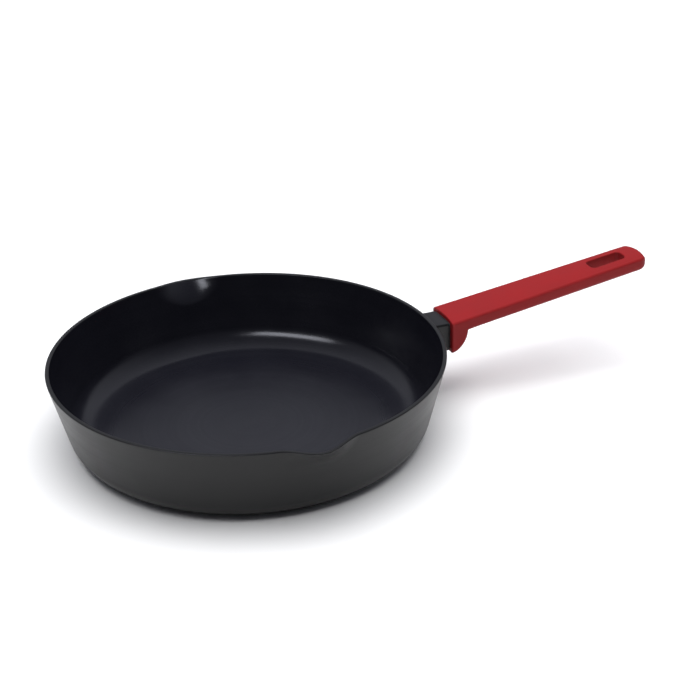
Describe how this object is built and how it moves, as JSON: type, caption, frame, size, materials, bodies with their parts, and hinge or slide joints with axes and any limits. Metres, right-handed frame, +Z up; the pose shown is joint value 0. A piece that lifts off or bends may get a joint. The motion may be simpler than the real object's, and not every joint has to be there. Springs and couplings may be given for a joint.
{
  "type": "cast iron skillet",
  "caption": "Round black cast skillet with leaning walls and a pour spout on each side, and a long flat tilted red grip with a hanging slot, screwed to a short cast neck.",
  "frame": {"origin": "centre of the pan's flat base, on the surface that the skillet stands on", "axes": "+X from the pan's centre along the handle, +Z up, +Y towards the far pour spout"},
  "size_m": [0.4584, 0.294, 0.0793],
  "materials": {
    "cast_iron": "black, semi-matt coated casting, smoother inside than outside",
    "gasket": "matt black heat-resistant rubber",
    "core": "plain die-cast",
    "grip": "red soft-touch silicone, satin",
    "steel": "plain stainless"
  },
  "bodies": {
    "root": {"pan_body": "cast_iron", "heat_gasket": "gasket", "handle_core": "core", "grip_skin": "grip", "fixing_screw": "steel", "flat_washer": "steel", "spring_washer": "steel", "screw_plug": "grip"}
  },
  "joints": []
}
